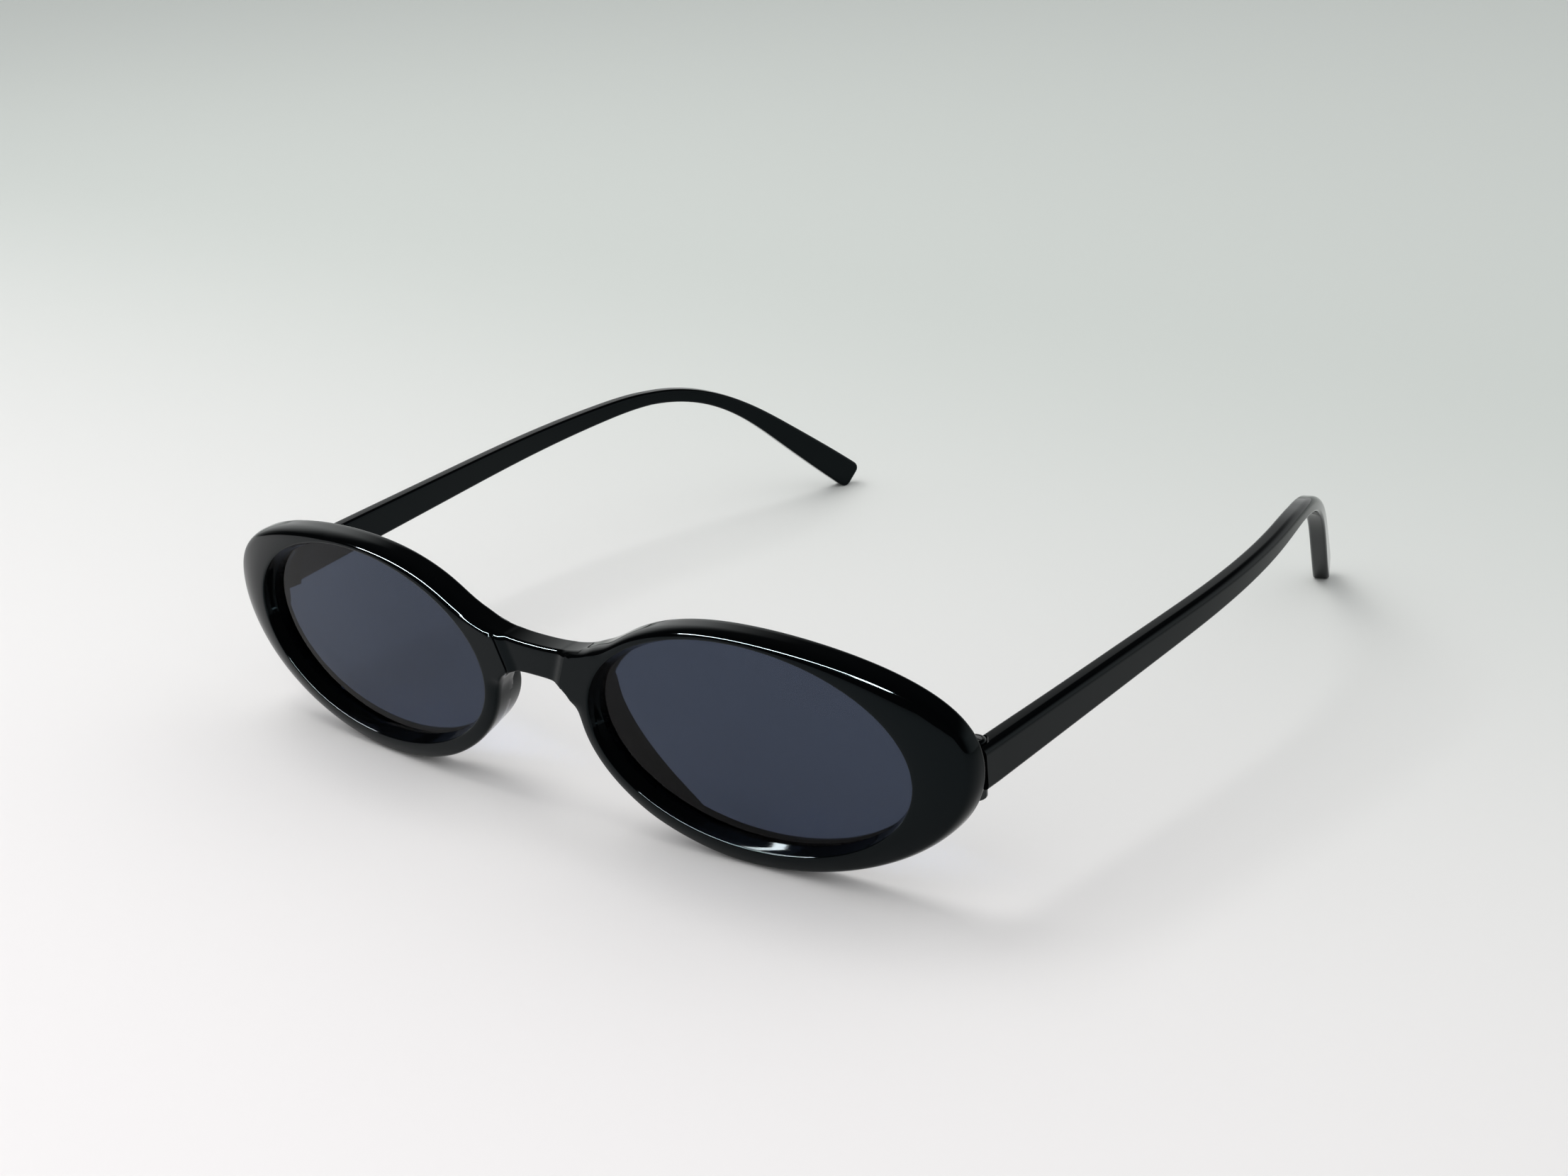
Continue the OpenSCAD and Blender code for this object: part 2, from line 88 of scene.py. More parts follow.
class FrontSizes(bpy.types.PropertyGroup):
    """Sizes of the moulded front"""

    lens_width: metres("Lens width", 0.051, "Width of each lens opening at the rim's face")
    lens_height: metres("Lens height", 0.0302, "Height of each lens opening at the rim's face")
    bridge_gap: metres("Bridge gap", 0.020, "Gap between the two lens openings at the nose")
    rim_nose: metres("Rim at the nose", 0.0023, "Width of the rim beside the nose")
    rim_end: metres("Rim at the hinge", 0.0079, "Width of the rim at the hinge side")
    rim_top: metres("Rim at the top", 0.0011, "Width of the rim above the lens opening")
    rim_bottom: metres("Rim at the bottom", 0.0028, "Width of the rim below the lens opening")
    rim_tilt: degrees("Rim tilt", 3.8, "Upward tilt of each rim's outline towards the hinge")
    rim_fullness: fraction("Rim fullness", 0.16,
        "How much taller the upper half of the outline is at the nose than at its middle")
    rim_fullness_low: fraction("Lower rim fullness", 0.06,
        "How much taller the lower half of the outline is at the nose than at its middle")
    rim_bow: metres("Rim bow", 0.0016, "Upward bow of the rim's outline at its two ends")
    rim_square_nose: number("Rim squareness at the nose", 1.9,
        "Squareness of the rim's outline at the nose, where 2 is an ellipse")
    rim_square_end: number("Rim squareness at the hinge", 2.2,
        "Squareness of the rim's outline at the hinge side, where 2 is an ellipse")
    thickness: metres("Thickness", 0.0046, "Thickness of the front")
    face_round: metres("Rounding width", 0.0008,
        "Width of the rounding between the face and the rim's outside")
    face_round_depth: metres("Rounding depth", 0.0022,
        "Depth of the rounding between the face and the rim's outside")
    face_fall: fraction("Face fall", 0.2,
        "Fall of the rim's face towards its outer edge, as a share of its width")
    back_edge: metres("Back edge", 0.0005, "Rounding of the rim's outer edge at the back")
    wrap_radius: metres("Wrap radius", 0.460,
        "Radius of the curve that the front follows round the face")
    lean: degrees("Lean", 4.1, "Backward lean of the front's top")
    opening_draft: metres("Opening draft", 0.0006,
        "How much narrower the opening is at the lens than at the face")
    opening_edge: metres("Opening edge", 0.00025, "Rounding of the opening's edges")
    groove_depth: metres("Groove depth", 0.0007, "Depth of the groove that holds the lens's edge")
    bridge_top: metres("Bridge top", 0.0077, "Height of the bridge's top above the lenses' centre")
    arch_top: metres("Arch top", 0.003, "Height of the bridge's arch above the lenses' centre")
    arch_half: metres("Arch half width", 0.0054,
        "Half width of the arch where it has dropped by a millimetre")
    arch_round: metres("Arch rounding", 0.0004, "Rounding along the arch")
    brow_rise: metres("Brow rise", 0.0047,
        "Rise of the brow line from the middle of the bridge to the rims")
    brow_half: metres("Brow half length", 0.0172, "Half length of the brow line between the rims")
    crease_half: metres("Crease half width", 0.005, "Half width of the bridge's face at the arch")
    crease_slant: number("Crease slant", 0.38,
        "Sideways lean of the edges of the bridge's face, as a slope")
    bridge_setback: metres("Bridge setback", 0.0007,
        "Depth of the bridge's face behind the rims' faces")
    bridge_round_depth: metres("Bridge rounding depth", 0.0014,
        "Depth of the rounding between the bridge's face and its top")
    crease_step: metres("Crease step", 0.0002,
        "Step down from the rims' faces to the bridge's face at the creases")
    crease_fillet: metres("Crease fillet", 0.0018,
        "Width of the hollow in the bridge's face beside a crease")
    pad_reach: metres("Nose pad reach", 0.003, "Reach of each nose pad behind the back of the front")
    pad_thickness: metres("Nose pad thickness", 0.0016, "Thickness of a nose pad")
    nose_flare: degrees("Nose flare", 12,
        "Flare of the nose side of the rims and pads towards the back")
    nose_edge: metres("Nose edge", 0.0004, "Rounding between the face and the nose side")
    nose_blend: degrees("Nose blend", 12,
        "Turn round the rim over which the nose side runs out beyond a pad's ends")
    pad_from: degrees("Nose pad start", 160, "Angle round the rim where a nose pad begins")
    pad_to: degrees("Nose pad end", 240, "Angle round the rim where a nose pad ends")


class LensSizes(bpy.types.PropertyGroup):
    """Sizes of the lenses"""

    thickness: metres("Thickness", 0.0018, "Thickness of a lens")
    setback: metres("Setback", 0.002, "Depth of a lens's front behind the edge of the rim's face")
    clearance: metres("Clearance", 0.00006, "Free space round the lens in its groove")


class HingeSizes(bpy.types.PropertyGroup):
    """Sizes of the two hinges"""

    knuckle_radius: metres("Knuckle radius", 0.0016, "Radius of the hinge's knuckles")
    knuckle_height: metres("Knuckle height", 0.0028, "Height of the temple's knuckle")
    lug_height: metres("Lug height", 0.0026, "Height of each of the front's two knuckles")
    lug_round: metres("Lug rounding", 0.00045,
        "Rounding of the front's knuckles at their outer ends")
    knuckle_gap: metres("Knuckle gap", 0.00012,
        "Free height between the temple's knuckle and the front's")
    clearance: metres("Clearance", 0.0003, "Free space round the knuckles")
    bore_radius: metres("Bore radius", 0.00065, "Radius of the hole for the hinge screw")
    counterbore_radius: metres("Head hole radius", 0.00105,
        "Radius of the hole for the screw's head")
    counterbore_depth: metres("Head hole depth", 0.00065, "Depth of the hole for the screw's head")
    screw_clearance: metres("Screw clearance", 0.00005, "Running clearance round the screw")


class TempleSizes(bpy.types.PropertyGroup):
    """Sizes of the temples"""

    length: metres("Length", 0.14145, "Length of each temple from the hinge to the tip")
    thickness: metres("Thickness", 0.00275, "Thickness of a temple")
    end_thickness: metres("Thickness at the hinge", 0.0029, "Thickness of a temple at the hinge")
    height: metres("Height at the hinge", 0.0059, "Height of a temple at the hinge")
    neck_height: metres("Height near the ear", 0.00245, "Height of a temple where it is lowest")
    tip_height: metres("Height at the tip", 0.0052, "Height of a temple at its tip")
    neck_from: metres("Neck start", 0.090, "Length along a temple where it has become lowest")
    neck_to: metres("Neck end", 0.101, "Length along a temple where it starts to widen again")
    up: metres("Height above the lenses", 0.002,
        "Height of a temple's middle above the lenses' centre, at the hinge")
    drop: metres("Hinge drop", 0.00085,
        "Height of the hinge's middle below the middle of the temple")
    inset: metres("Inset", 0.0003, "Inset of a temple's outer face from the end of the front")
    end_gap: metres("End gap", 0.00035, "Gap between the end of a temple and the back of the front")
    ear_slope: degrees("Ear slope", 38.5, "Slope of the ear piece below level")
    ear_from: metres("Ear bend start", 0.079, "Length along a temple where the ear bend begins")
    ear_to: metres("Ear bend end", 0.123, "Length along a temple where the ear bend ends")
    splay: degrees("Splay", 1.8, "Outward splay of a temple at the hinge")
    curl: degrees("Curl", 22.5, "Inward turn of a temple at its tip")
    curl_from: metres("Curl start", 0.042, "Length along a temple where the inward turn begins")
    curl_to: metres("Curl end", 0.125, "Length along a temple where the inward turn ends")
    edge_round: metres("Upper edge rounding", 0.0011,
        "Rounding of the upper edge of a temple's outer face")
    soft_round: metres("Edge rounding", 0.0005, "Rounding of a temple's other long edges")
    tip_round: metres("Tip rounding", 0.0014, "Rounding of the corners at a temple's tip")


class Finishes(bpy.types.PropertyGroup):
    """Colours and gloss of the materials"""

    plastic: rgba("Plastic", (0.0010, 0.0012, 0.0014, 1), "Colour of the moulded plastic")
    plastic_gloss: fraction("Plastic roughness", 0.05, "Roughness of the moulded plastic")
    lens: rgba("Lens", (0.045, 0.057, 0.088, 1), "Tint of the lenses")
    steel: rgba("Steel", (0.09, 0.09, 0.095, 1), "Colour of the hinge screws")


class StudioSettings(bpy.types.PropertyGroup):
    """Floor, light, room and camera"""

    floor_size: metres("Floor size", 12, "Width and length of the floor")
    # Painted shade: the floor's colour darkens from the near colour to the far one, standing in for
    # the light that falls off towards the back of the floor.
    floor_near: rgba("Floor, near", (0.90, 0.87, 0.86, 1), "Colour of the floor near the camera")
    floor_far_shaded: rgba("Floor, far", (0.58, 0.61, 0.575, 1), "Colour of the floor far behind")
    floor_shade_from: metres("Floor tone start", -0.2,
        "Place along Y where the floor's colour starts to change")
    floor_shade_to: metres("Floor tone end", 0.22, "Place along Y where the floor has its far colour")
    key_power: number("Key light", 2.6, "Power of the large soft light", unit="POWER")
    key_size: metres("Key light size", 0.5, "Width and height of the large soft light")
    key_place: position("Key light place", (-0.42, 0.02, 0.75), "Place of the large soft light")
    key_aim: position("Key light aim", (0, 0, 0.01), "Point at which the large soft light is aimed")
    strip_power: number("Strip light", 190,
        "Power of the long thin light that draws the highlights", unit="POWER")
    strip_length: metres("Strip light length", 1.5, "Length of the long thin light")
    strip_width: metres("Strip light width", 0.1, "Width of the long thin light")
    strip_place: position("Strip light place", (-0.45, -0.66, 1), "Place of the long thin light")
    strip_turn: degrees("Strip light turn", -14, "Turn of the long thin light about the upright")
    sky: fraction("Room light", 0.82, "Strength of the even light from all around")
    sky_colour: rgba("Room light colour", (0.97, 0.98, 1, 1), "Colour of the even light")
    gloss_colour: rgba("Reflected room", (0.93, 0.95, 0.94, 1), "Colour of the room in the gloss")
    backdrop: fraction("Backdrop", 0.95, "Brightness of the backdrop beyond the floor")
    backdrop_colour: rgba("Backdrop colour", (0.93, 0.94, 0.93, 1), "Colour beyond the floor")
    lens_length: number("Camera lens", 55.3, "Focal length of the camera", unit="CAMERA")
    sensor_width: number("Camera sensor", 36, "Width of the camera's sensor", unit="CAMERA")
    clip_start: metres("Camera near limit", 0.01, "Nearest distance that the camera shows")
    camera_place: position("Camera place", (0.220802, -0.289013, 0.148596), "Place of the camera")
    camera_turn: degrees("Camera turn", 38.8228, "Turn of the camera to the object's right")
    camera_rise: degrees("Camera rise", 20.7010, "Angle at which the camera looks down")
    camera_roll: degrees("Camera roll", -2.8774, "Roll of the camera about its line of sight")


# Shared geometry, in metres, in the frame of the CAD model

HINGE_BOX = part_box("right_hinge_screw")
MILLIMETRE = 0.001
# Points round a rim and round a lens
RIM_STEPS, LENS_STEPS = 320, 192
# Gap that keeps two faces apart where one runs on inside the other
SINK = 0.00003
# Powers of the curves along the brow and the arch, and where the arch's curve stops falling
BROW_POWER, ARCH_POWER, ARCH_FLOOR = 2.5, 4, -0.0055
# Growth of the outline at which the shoulder's face no longer falls
SHOULDER_GROWTH = 0.0015
# Widest rounding of a rim's face, as a share of the rim's width
WIDEST_ROUNDING = 0.55
# Rounding of the rims' faces along the crease
CREASE_EDGE = 0.00012


def smooth(start, end, value):
    k = np.clip((value - start) / (end - start), 0, 1)
    return k * k * (3 - 2 * k)


def between(start, end, share):
    return start + (end - start) * share


def corner(u, v, across, deep, turns):
    """Points of a quarter round whose sharp corner would be at u and v"""
    return [(u + across * (1 - math.sin(q)), v + deep * (1 - math.cos(q))) for q in turns]


class Layout:
    """Places that the front, the hinges and the temples share"""

    def __init__(self, scene):
        front, hinge, temple = scene.glasses_front, scene.glasses_hinge, scene.glasses_temple
        low, high = HINGE_BOX
        half = hinge.knuckle_height / 2 + hinge.knuckle_gap + hinge.lug_height
        self.front = front
        self.hinge_half = half
        self.axis_x = (low.x + high.x) / 2
        self.axis_y = (low.y + high.y) / 2
        self.hinge_z = high.z - half + hinge.screw_clearance
        self.temple_z = self.hinge_z + temple.drop
        self.lens_z = self.temple_z - temple.up
        self.temple_x = rim_span(front)[1] - temple.inset
        self.shift = 0.0
        back = self.back_y(self.axis_x, self.hinge_z)
        self.shift = self.axis_y - hinge.knuckle_radius - hinge.clearance - back

    def sag(self, u):
        radius = self.front.wrap_radius
        return radius - np.sqrt(radius * radius - u * u)

    def on_face(self, u, depth, v):
        """Places points given across, behind and up the front's face"""
        y, lean = self.sag(u) + depth, self.front.lean
        return np.stack([u, y * math.cos(lean) - v * math.sin(lean) + self.shift,
            y * math.sin(lean) + v * math.cos(lean) + self.lens_z], axis=-1)

    def back_y(self, x, z):
        """Where the back of the front is, at a place across and up"""
        lean = self.front.lean
        depth = (self.sag(x) + self.front.thickness) / math.cos(lean)
        return depth - (z - self.lens_z) * math.tan(lean) + self.shift


def lens_centre(front):
    return np.array([(front.bridge_gap + front.lens_width) / 2, 0.0])


def opening(front, angle, grow):
    """Edge of the lens opening, grown outwards by a distance"""
    centre = lens_centre(front)
    return np.stack([centre[0] + (front.lens_width / 2 + grow) * np.cos(angle),
        (front.lens_height / 2 + grow) * np.sin(angle)], axis=-1)


def rim_span(front):
    """Where a rim starts at the nose and ends at the hinge, across the front"""
    nose = front.bridge_gap / 2
    return nose - front.rim_nose, nose + front.lens_width + front.rim_end


def rim_outline(front, angle, inset):
    """Outer edge of a rim without its shoulder, drawn inwards by a distance"""
    start, end = rim_span(front)
    cos, sin = np.cos(angle), np.sin(angle)
    power = 2 / between(front.rim_square_nose, front.rim_square_end, (1 + cos) / 2)
    full = np.where(sin > 0, front.rim_fullness, front.rim_fullness_low)
    half = (front.lens_height + front.rim_top + front.rim_bottom) / 2
    x = ((end - start) / 2 - inset) * np.sign(cos) * np.abs(cos) ** power
    y = (half - inset) * np.sign(sin) * np.abs(sin) ** power * (1 - full * cos)
    y = y + front.rim_bow * cos ** 2
    turn_x, turn_y = math.cos(front.rim_tilt), math.sin(front.rim_tilt)
    return np.stack([(start + end) / 2 + x * turn_x - y * turn_y,
        (front.rim_top - front.rim_bottom) / 2 + x * turn_y + y * turn_x], axis=-1)


def nose_zone(front, angle):
    """How far a place round the right rim belongs to its nose side, from 0 to 1"""
    blend = front.nose_blend
    return (smooth(front.pad_from - blend, front.pad_from + blend / 2, angle)
        * (1 - smooth(front.pad_to - blend / 2, front.pad_to + blend, angle)))


def flare(front, angle, depth):
    """Inset of the nose side at a depth behind the face"""
    return math.tan(front.nose_flare) * nose_zone(front, angle) * depth


def brow(front, u):
    """Height of the line along the tops of the rims and the bridge"""
    return front.bridge_top + front.brow_rise * (np.abs(u) / front.brow_half) ** BROW_POWER


def arch(front, u):
    """Height of the bridge's underside"""
    drop = MILLIMETRE * (np.abs(u) / front.arch_half) ** ARCH_POWER
    return np.maximum(front.arch_top - drop, ARCH_FLOOR)


def crease(front, v):
    """Half width of the bridge's own face at a height"""
    return front.crease_half + front.crease_slant * np.maximum(v - front.arch_top, 0)


def crossing(inside, low, high, halvings=40):
    """The last distance between two bounds at which a point is still inside"""
    for _ in range(halvings):
        middle = (low + high) / 2
        keep = inside(middle)
        low, high = np.where(keep, middle, low), np.where(keep, high, middle)
    return low


class RimShape:
    """Outline of the right rim with the shoulder that carries the brow line to the bridge"""

    def __init__(self, front):
        self.front = front
        self.centre = lens_centre(front)
        self.top_corner, self.low_corner = self.crease_corners()
        angle = self.sample_angles()
        self.angle = angle
        inner = opening(front, angle, 0)
        out = inner - self.centre
        self.bearing = np.arctan2(out[:, 1], out[:, 0])
        self.ray = np.stack([np.cos(self.bearing), np.sin(self.bearing)], axis=-1)
        plain = self.plain_reach(self.bearing)
        full = self.full_reach(plain)
        self.shoulder = smooth(0, SHOULDER_GROWTH, full - plain)
        self.reach = self.softened(full)
        self.outer = self.centre + self.ray * self.reach[:, None]
        self.width = np.linalg.norm(self.outer - inner, axis=1)
        self.full_round = between(front.face_round, front.nose_edge, nose_zone(front, angle))
        self.rounding = np.minimum(self.full_round, WIDEST_ROUNDING * self.width)
        self.edges = self.rounded_edges()

    def crease_corners(self):
        front, rounds = self.front, 30
        u = front.crease_half
        for _ in range(rounds):
            u = crease(front, brow(front, u))
        top = np.array([float(u), float(brow(front, u))])
        low = np.array([front.crease_half, float(arch(front, front.crease_half))])
        return top, low

    def eccentric(self, point):
        """Angle of the opening's edge on the ray from the lens's centre to a point"""
        out = point - self.centre
        return math.atan2(out[1] / self.front.lens_height, out[0] / self.front.lens_width) % math.tau

    def sample_angles(self):
        angle = np.arange(RIM_STEPS) * math.tau / RIM_STEPS
        for point in (self.top_corner, self.low_corner):
            exact = self.eccentric(point)
            angle[np.argmin(np.abs(angle - exact))] = exact
        return angle

    def plain_reach(self, bearing):
        around = np.linspace(0, math.tau, 9 * RIM_STEPS, endpoint=False)
        across, up = (rim_outline(self.front, around, 0) - self.centre).T
        facing = np.arctan2(up, across)
        order = np.argsort(facing)
        return np.interp(bearing, facing[order], np.hypot(across, up)[order], period=math.tau)

    def full_reach(self, plain):
        front, slack = self.front, 1e-9
        step, steps = 0.05 * MILLIMETRE, 160

        def inside(reach):
            u = self.centre[0] + self.ray[..., 0] * reach
            v = self.ray[..., 1] * reach
            return ((u >= crease(front, v) - slack) & (u <= front.brow_half)
                & (v <= brow(front, u) + slack) & (v >= arch(front, u) - slack))

        reach = plain.copy()
        for extra in np.linspace(0, steps * step, steps + 1):
            reach = np.where(inside(plain + extra), plain + extra, reach)
        return np.where(reach > plain, crossing(inside, reach, reach + step), plain)

    def softened(self, reach):
        """Rounds the hollow where the brow line meets the rim, but keeps the crease's corners"""
        start, end = self.eccentric(self.top_corner), self.eccentric(self.low_corner)
        apart = np.minimum(np.abs(self.angle - start), np.abs(self.angle - end))
        within = (self.angle > start) & (self.angle < end)
        near, far, passes = math.radians(1), math.radians(8), 24
        free = np.where(within, 0, smooth(near, far, apart))
        soft = reach
        for _ in range(passes):
            soft = (np.roll(soft, 1) + 2 * soft + np.roll(soft, -1)) / 4
        return reach + (soft - reach) * free

    def rounded_edges(self):
        """Short segments of the outline that the rounding follows: all but the crease"""
        front = self.front
        start, end = self.eccentric(self.top_corner), self.eccentric(self.low_corner)
        ring, nxt = self.outer, np.roll(self.outer, -1, axis=0)
        middle = (self.angle + math.pi / RIM_STEPS) % math.tau
        keep = ~((middle > start) & (middle < end))
        inner, count = 2 * MILLIMETRE, 24
        top = np.linspace(inner, self.top_corner[0], count)
        low = np.linspace(inner, self.low_corner[0], count)
        brow_line = np.stack([top, brow(front, top)], axis=-1)
        arch_line = np.stack([low, arch(front, low)], axis=-1)
        return (np.concatenate([ring[keep], brow_line[:-1], arch_line[:-1]]),
            np.concatenate([nxt[keep], brow_line[1:], arch_line[1:]]))

    def distance(self, points):
        """Distance of each point from the rounded edges"""
        start, end = self.edges
        along = end - start
        length = np.maximum((along ** 2).sum(axis=1), 1e-18)
        away = points[:, None, :] - start[None]
        share = np.clip((away * along[None]).sum(axis=2) / length[None], 0, 1)
        return np.sqrt(((away - share[..., None] * along[None]) ** 2).sum(axis=2).min(axis=1))


def rounded_depth(distance, rounding, slope, depth):
    """Depth of an elliptic rounding that leaves the face at its slope and ends upright"""
    steepest = 0.9
    k = slope * rounding / depth
    start = np.arcsin(np.clip(k / (1 - k), 0, steepest))
    wide = rounding / (1 - np.sin(start))
    deep = depth / np.cos(start)
    turn = np.arcsin(np.clip(1 - distance / wide, 0, 1))
    fallen = deep * (np.cos(start) - np.cos(np.maximum(turn, start)))
    return np.where(distance < rounding, fallen, 0)


def face_loops(front, shape, rows=15):
    """Loops from the outside of a rim's rounding over its face to the opening"""
    inner = opening(front, shape.angle, front.opening_edge)
    edge = shape.outer - shape.ray * shape.rounding[:, None]
    bend = front.face_fall * (1 - shape.shoulder)
    fall = bend * np.linalg.norm(edge - inner, axis=1)
    round_depth = np.minimum(front.face_round_depth * shape.full_round / front.face_round,
        front.thickness - 1.5 * front.back_edge - fall)

    def face_point(points, share, inset):
        away = shape.distance(points)
        depth = fall * share ** 2 + rounded_depth(away, shape.rounding, 2 * bend, round_depth)
        lip = np.clip(1 - inset / CREASE_EDGE, 0, 1)
        soft = CREASE_EDGE * (1 - np.sqrt(1 - lip ** 2))
        return points, np.where(away > shape.rounding, depth + soft, depth)

    loops = []
    for turn in np.radians(np.linspace(90, 0, rows)):
        inset = shape.rounding * (1 - math.sin(turn))
        points, depth = face_point(shape.outer - shape.ray * inset[:, None], 1, inset)
        loops.append((points - shape.ray * flare(front, shape.angle, depth)[:, None], depth))
    for share in np.linspace(1, 0, rows)[1:]:
        loops.append(face_point(between(inner, edge, share), share, shape.width))
    return loops


def opening_loops(front, lens, angle):
    """Loops down the wall of the opening, with the groove that holds the lens"""
    edge, draft = front.opening_edge, -front.opening_draft
    groove = front.groove_depth - front.opening_draft
    lens_front = lens.setback - lens.clearance
    lens_back = lens.setback + lens.thickness + lens.clearance
    steps = corner(0, 0, edge, edge, np.radians((22.5, 45, 67.5, 90)))
    steps += [(draft / 2, between(edge, lens_front, 0.5)), (draft, lens_front)]
    steps += [(groove, lens_front), (groove, lens_back), (draft, lens_back)]
    for turn in np.radians((0, 30, 60, 90)):
        steps.append((draft + edge * (1 - math.cos(turn)),
            front.thickness - edge * (1 - math.sin(turn))))
    return [(opening(front, angle, grow), depth) for grow, depth in steps]


def outside_loops(front, shape, first):
    """Loops over a rim's back and up its outside to the first depth of its rounding"""
    edge, last = front.back_edge, front.thickness - front.back_edge

    def side(depth, inset=0.0):
        return shape.outer - shape.ray * (flare(front, shape.angle, depth) + inset)[:, None]

    inner = opening(front, shape.angle, front.opening_edge - front.opening_draft)
    outer = side(front.thickness, edge)
    loops = [(between(inner, outer, share), front.thickness) for share in (0.33, 0.67)]
    for turn in np.radians((90, 67.5, 45, 22.5, 0)):
        depth = front.thickness - edge * (1 - math.sin(turn))
        loops.append((side(depth, edge * (1 - math.cos(turn))), depth))
    for share in (0.67, 0.33):
        depth = between(first, last, share)
        loops.append((side(depth), depth))
    return loops


def rim_loops(layout, scene):
    """Loops round the right rim: over its face, down the opening and back up the outside"""
    front, lens = scene.glasses_front, scene.glasses_lens
    shape = RimShape(front)
    loops = face_loops(front, shape)
    first = loops[0][1]
    loops += opening_loops(front, lens, shape.angle) + outside_loops(front, shape, first)
    return [layout.on_face(p[:, 0], np.broadcast_to(d, p.shape[:1]), p[:, 1]) for p, d in loops]


def bridge_hollow(front, u, v):
    """Depth of the bridge's face, which comes up to the rims' faces at the creases"""
    rise = smooth(0, front.crease_fillet, crease(front, v) - abs(u))
    return between(front.crease_step, front.bridge_setback, rise)


def bridge_rows(layout, scene):
    """Sections of the bridge from left to right, each going once round it"""
    front = scene.glasses_front
    reach, count = 9 * MILLIMETRE, 73
    tuck = 0.2 * MILLIMETRE
    depth, edge = front.bridge_round_depth, front.back_edge
    turns, soft = np.radians(np.linspace(0, 90, 10)), np.radians(np.linspace(90, 0, 5))
    rows = []
    for u in np.linspace(-reach, reach, count):
        beyond = SINK * smooth(front.crease_half, front.crease_half + MILLIMETRE, abs(u))
        top = float(brow(front, u)) - beyond
        low = float(arch(front, min(abs(u), front.crease_half + tuck))) + beyond
        back = front.thickness - beyond
        face_top, face_low = top - front.face_round, low + front.arch_round
        points = (corner(top, 0, -front.face_round, depth, turns)
            + corner(top, back, -edge, -edge, soft)
            + corner(low, back, edge, -edge, soft[::-1])
            + corner(low, 0, front.arch_round, front.arch_round, turns[::-1])
            + [(between(face_low, face_top, share), 0) for share in (0.2, 0.4, 0.6, 0.8)])
        v, d = np.array(points).T
        d = d + np.clip(1 - d / depth, 0, 1) * bridge_hollow(front, u, v)
        rows.append(layout.on_face(np.full(len(v), u), d, v))
    return rows


def pad_rows(layout, scene):
    """Sections of the right nose pad, along the rim's nose side"""
    front, lens = scene.glasses_front, scene.glasses_lens
    cover, bury = 0.1 * MILLIMETRE, 0.02 * MILLIMETRE
    least, widest_edge, fullness = 0.3 * MILLIMETRE, 0.8 * MILLIMETRE, 0.6
    root = front.thickness - lens.setback - lens.thickness - cover
    thick, count = front.pad_thickness, 48
    turns = np.radians(np.linspace(0, 90, 7))
    rows = []
    for angle in np.linspace(front.pad_from, front.pad_to, count):
        share = (angle - front.pad_from) / (front.pad_to - front.pad_from)
        swell = max(math.sin(math.pi * share), 0) ** fullness
        reach = between(least, front.pad_reach, swell)
        edge = min(widest_edge, 0.8 * reach)
        middle = (reach - edge) / 2
        points = [(-root, bury), (0, bury), (middle, bury)]
        points += corner(reach, bury, -edge, edge, turns)
        points += corner(reach, thick, -edge, -edge, turns[::-1])
        points += [(middle, thick), (0, thick), (-root, thick)]
        depth, inset = np.array(points).T
        inset = inset + flare(front, angle, front.thickness + depth)
        across = np.array([rim_outline(front, angle, i) for i in inset])
        rows.append(layout.on_face(across[:, 0], front.thickness + depth, across[:, 1]))
    return rows


# Making meshes with the modelling tools

# Distance below which two points count as one
WELD = 1e-7


def clear_selection():
    if bpy.context.mode != "OBJECT":
        bpy.ops.object.mode_set(mode="OBJECT")
    bpy.ops.object.select_all(action="DESELECT")


def pick(piece):
    clear_selection()
    piece.select_set(True)
    bpy.context.view_layer.objects.active = piece


def place_loop(piece, row, points):
    """Moves the loop that was drawn last onto its points, and notes its row"""
    mesh = bmesh.from_edit_mesh(piece.data)
    order, rows = mesh.verts.layers.int["order"], mesh.verts.layers.int["row"]
    for vertex in mesh.verts:
        if vertex.select:
            vertex.co = points[vertex[order]]
            vertex[rows] = row
    bmesh.update_edit_mesh(piece.data)


def select_row(piece, row):
    bpy.ops.mesh.select_all(action="DESELECT")
    mesh = bmesh.from_edit_mesh(piece.data)
    rows = mesh.verts.layers.int["row"]
    for vertex in mesh.verts:
        vertex.select_set(vertex[rows] == row)
    mesh.select_flush(True)
    bmesh.update_edit_mesh(piece.data)


def skin(name, loops, closed):
    """A circle extruded from loop to loop; the ends are capped, or joined where closed"""
    clear_selection()
    bpy.ops.mesh.primitive_circle_add(vertices=len(loops[0]), radius=MILLIMETRE)
    piece = bpy.context.object
    piece.name = name
    piece.data.name = name
    bpy.ops.object.mode_set(mode="EDIT")
    mesh = bmesh.from_edit_mesh(piece.data)
    mesh.verts.layers.int.new("row")
    order = mesh.verts.layers.int.new("order")
    for number, vertex in enumerate(mesh.verts):
        vertex[order] = number
    bmesh.update_edit_mesh(piece.data)
    bpy.ops.mesh.select_all(action="SELECT")
    place_loop(piece, 0, loops[0])
    follow = loops[1:] + [loops[0]] if closed else loops[1:]
    for row, points in enumerate(follow, start=1):
        bpy.ops.mesh.extrude_region_move()
        place_loop(piece, row, points)
    if not closed:
        for row in (0, len(loops) - 1):
            select_row(piece, row)
            bpy.ops.mesh.edge_face_add()
    bpy.ops.mesh.select_all(action="SELECT")
    bpy.ops.mesh.remove_doubles(threshold=WELD)
    bpy.ops.mesh.normals_make_consistent(inside=False)
    bpy.ops.object.mode_set(mode="OBJECT")
    return piece


def settle(piece):
    """Puts the piece's place into its mesh"""
    pick(piece)
    bpy.ops.object.transform_apply(location=True, rotation=True, scale=True)
    return piece


